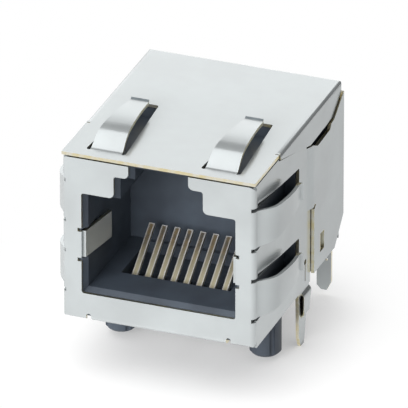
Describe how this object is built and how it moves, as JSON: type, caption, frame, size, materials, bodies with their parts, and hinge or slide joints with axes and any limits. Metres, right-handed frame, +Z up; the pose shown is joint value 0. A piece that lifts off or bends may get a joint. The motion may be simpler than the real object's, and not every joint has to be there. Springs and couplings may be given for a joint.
{
  "type": "board jack",
  "caption": "Shielded board jack for a modular network plug: a moulded port with sprung contacts in a folded metal shield, with locating posts and solder tails below.",
  "frame": {"origin": "on the board's surface, midway between the two locating posts", "axes": "+Z up from the board, -Y out of the port, +X to the right seen from the port"},
  "size_m": [0.0174, 0.0183, 0.0193],
  "materials": {
    "housing_plastic": "moulded, dark blue-grey, fine satin",
    "carrier_plastic": "moulded, dark grey",
    "contact_metal": "plated copper alloy, bright pale gold",
    "shield_plate": "plated brass sheet, matt silver-white, bare brass on the cut edges"
  },
  "bodies": {
    "root": {"housing": "housing_plastic", "contact_carrier": "carrier_plastic", "contact_1": "contact_metal", "contact_2": "contact_metal", "contact_3": "contact_metal", "contact_4": "contact_metal", "contact_5": "contact_metal", "contact_6": "contact_metal", "contact_7": "contact_metal", "contact_8": "contact_metal", "front_shield": "shield_plate", "rear_shield": "shield_plate"}
  },
  "joints": []
}
